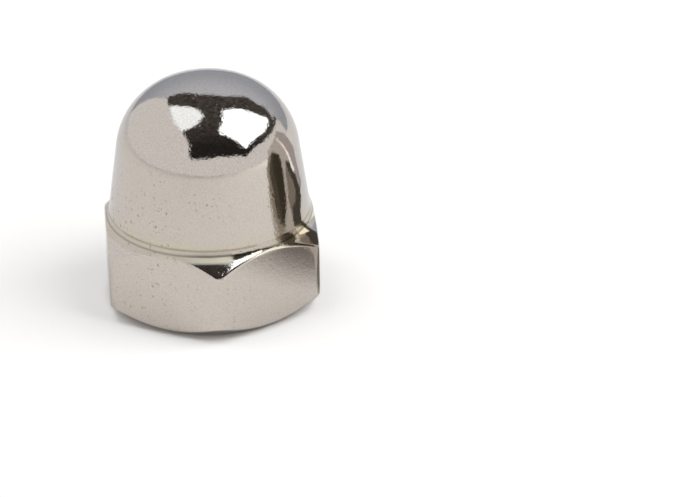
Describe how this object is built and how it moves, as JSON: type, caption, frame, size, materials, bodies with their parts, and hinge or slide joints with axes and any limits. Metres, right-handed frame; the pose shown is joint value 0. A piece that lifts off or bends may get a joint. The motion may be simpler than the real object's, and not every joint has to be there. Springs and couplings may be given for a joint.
{
  "type": "cap nut",
  "caption": "Tall domed cap nut with a hexagonal base and a blind threaded hole that opens in its flat bearing face.",
  "frame": {"origin": "centre of the bearing face, which is the face that the nut stands on", "axes": "+Z along the thread's axis towards the top of the dome, two flats facing +X and -X, two corners on +Y and -Y"},
  "size_m": [0.018, 0.0206, 0.0201],
  "materials": {
    "polished_steel": "bright polished steel with a warm nickel tone, fine pits and a slight ripple on the dome and flats, a satin bearing face and a dull brownish thread"
  },
  "bodies": {
    "root": {"cap_nut": "polished_steel"}
  },
  "joints": []
}
